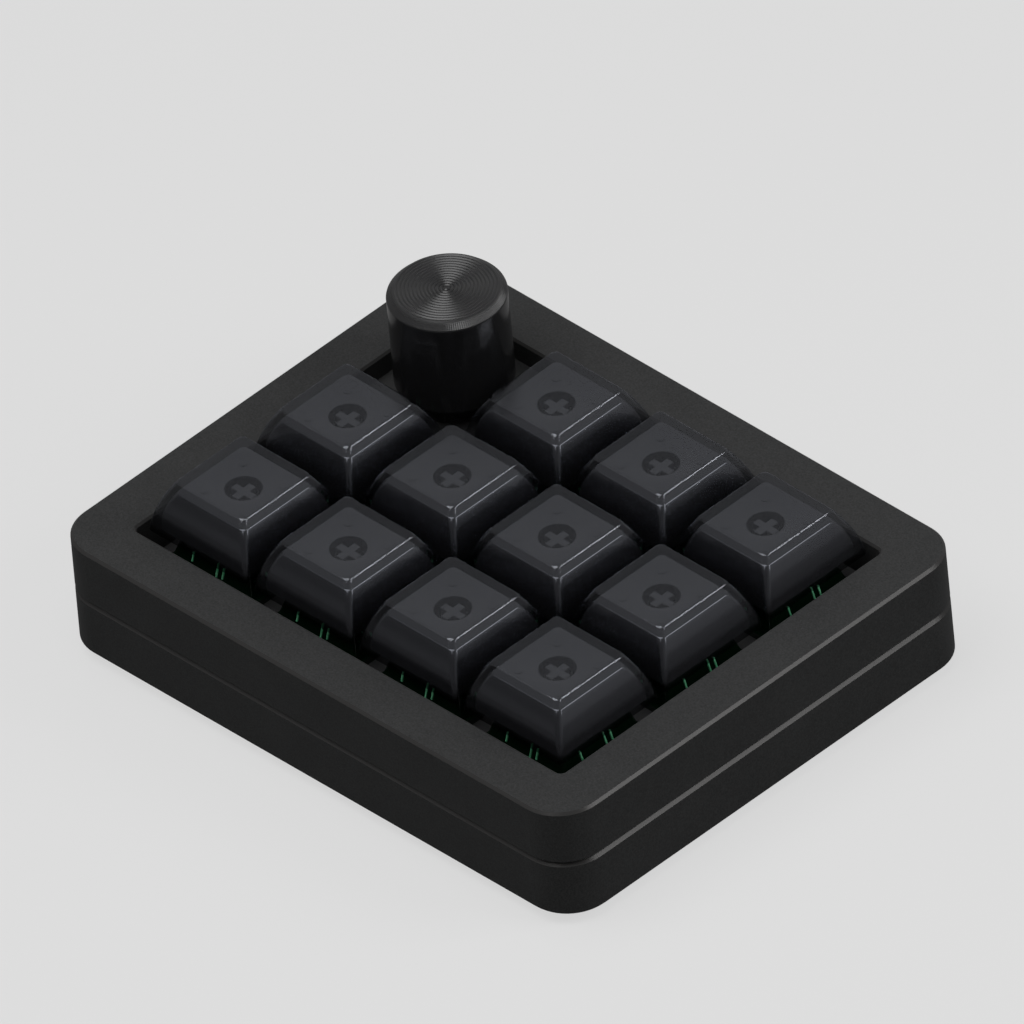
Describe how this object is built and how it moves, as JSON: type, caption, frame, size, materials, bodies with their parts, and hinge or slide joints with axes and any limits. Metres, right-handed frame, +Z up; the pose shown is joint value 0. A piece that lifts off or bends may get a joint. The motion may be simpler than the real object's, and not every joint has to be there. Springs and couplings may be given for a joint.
{
  "type": "macro keypad",
  "caption": "Desktop macro keypad: a two-part metal case with a grid of full-travel keys under smoky caps and a turned knob that rotates and clicks down.",
  "frame": {"origin": "centre of the keypad's footprint, on the plane that its rubber feet stand on", "axes": "+X to the right along the rows of keys, +Y to the back, +Z up"},
  "size_m": [0.093, 0.074, 0.0333],
  "materials": {
    "case": "bead-blasted black anodised",
    "plate": "brushed grey anodised",
    "board": "solder mask",
    "component": "moulded",
    "contact_metal": "plated",
    "port_metal": "drawn",
    "switch_housing": "clear green tint",
    "switch_slider": "moulded",
    "spring_steel": "drawn wire",
    "keycap": "smoky see-through",
    "encoder_plastic": "moulded",
    "encoder_metal": "zinc plated",
    "knob": "turned and black anodised",
    "screw": "black oxide",
    "foot": "moulded"
  },
  "bodies": {
    "case": {"lower_case": "case", "upper_case": "case", "switch_plate": "plate", "circuit_board": "board", "usb_socket": "port_metal", "controller_chip": "component", "key_diodes": "component", "switch_sockets": "component", "switch_bases": "switch_housing", "switch_terminals": "contact_metal", "switch_covers": "switch_housing", "encoder_body": "encoder_plastic", "encoder_bushing": "encoder_metal", "encoder_washer": "encoder_metal", "encoder_nut": "encoder_metal", "case_screws": "screw", "plate_screws": "screw", "rubber_feet": "foot", "switch_spring_1": "spring_steel", "switch_spring_2": "spring_steel", "switch_spring_3": "spring_steel", "switch_spring_4": "spring_steel", "switch_spring_5": "spring_steel", "switch_spring_6": "spring_steel", "switch_spring_7": "spring_steel", "switch_spring_8": "spring_steel", "switch_spring_9": "spring_steel", "switch_spring_10": "spring_steel", "switch_spring_11": "spring_steel"},
    "key_1": {"keycap_1": "keycap", "switch_slider_1": "switch_slider"},
    "key_2": {"keycap_2": "keycap", "switch_slider_2": "switch_slider"},
    "key_3": {"keycap_3": "keycap", "switch_slider_3": "switch_slider"},
    "key_4": {"keycap_4": "keycap", "switch_slider_4": "switch_slider"},
    "key_5": {"keycap_5": "keycap", "switch_slider_5": "switch_slider"},
    "key_6": {"keycap_6": "keycap", "switch_slider_6": "switch_slider"},
    "key_7": {"keycap_7": "keycap", "switch_slider_7": "switch_slider"},
    "key_8": {"keycap_8": "keycap", "switch_slider_8": "switch_slider"},
    "key_9": {"keycap_9": "keycap", "switch_slider_9": "switch_slider"},
    "key_10": {"keycap_10": "keycap", "switch_slider_10": "switch_slider"},
    "key_11": {"keycap_11": "keycap", "switch_slider_11": "switch_slider"},
    "knob_rotor": {"encoder_rotor": "encoder_plastic"},
    "knob": {"knob": "knob", "encoder_shaft": "encoder_metal", "knob_set_screw": "screw"}
  },
  "joints": [
    {"name": "key_1_press", "type": "slide", "parent": "case", "child": "key_1", "axis": [0, 0, -1], "range_m": [0, 0.004], "stiffness_N_per_m": 75, "springref_m": -0.006, "deforming": ["switch_spring_1"]},
    {"name": "key_2_press", "type": "slide", "parent": "case", "child": "key_2", "axis": [0, 0, -1], "range_m": [0, 0.004], "stiffness_N_per_m": 75, "springref_m": -0.006, "deforming": ["switch_spring_2"]},
    {"name": "key_3_press", "type": "slide", "parent": "case", "child": "key_3", "axis": [0, 0, -1], "range_m": [0, 0.004], "stiffness_N_per_m": 75, "springref_m": -0.006, "deforming": ["switch_spring_3"]},
    {"name": "key_4_press", "type": "slide", "parent": "case", "child": "key_4", "axis": [0, 0, -1], "range_m": [0, 0.004], "stiffness_N_per_m": 75, "springref_m": -0.006, "deforming": ["switch_spring_4"]},
    {"name": "key_5_press", "type": "slide", "parent": "case", "child": "key_5", "axis": [0, 0, -1], "range_m": [0, 0.004], "stiffness_N_per_m": 75, "springref_m": -0.006, "deforming": ["switch_spring_5"]},
    {"name": "key_6_press", "type": "slide", "parent": "case", "child": "key_6", "axis": [0, 0, -1], "range_m": [0, 0.004], "stiffness_N_per_m": 75, "springref_m": -0.006, "deforming": ["switch_spring_6"]},
    {"name": "key_7_press", "type": "slide", "parent": "case", "child": "key_7", "axis": [0, 0, -1], "range_m": [0, 0.004], "stiffness_N_per_m": 75, "springref_m": -0.006, "deforming": ["switch_spring_7"]},
    {"name": "key_8_press", "type": "slide", "parent": "case", "child": "key_8", "axis": [0, 0, -1], "range_m": [0, 0.004], "stiffness_N_per_m": 75, "springref_m": -0.006, "deforming": ["switch_spring_8"]},
    {"name": "key_9_press", "type": "slide", "parent": "case", "child": "key_9", "axis": [0, 0, -1], "range_m": [0, 0.004], "stiffness_N_per_m": 75, "springref_m": -0.006, "deforming": ["switch_spring_9"]},
    {"name": "key_10_press", "type": "slide", "parent": "case", "child": "key_10", "axis": [0, 0, -1], "range_m": [0, 0.004], "stiffness_N_per_m": 75, "springref_m": -0.006, "deforming": ["switch_spring_10"]},
    {"name": "key_11_press", "type": "slide", "parent": "case", "child": "key_11", "axis": [0, 0, -1], "range_m": [0, 0.004], "stiffness_N_per_m": 75, "springref_m": -0.006, "deforming": ["switch_spring_11"]},
    {"name": "knob_turn", "type": "hinge", "parent": "case", "child": "knob_rotor", "pos_m": [-0.02857, 0.01905, 0], "axis": [0, 0, 1], "continuous": true},
    {"name": "knob_press", "type": "slide", "parent": "knob_rotor", "child": "knob", "axis": [0, 0, -1], "range_m": [0, 0.0005], "stiffness_N_per_m": 3000, "springref_m": -0.001}
  ]
}
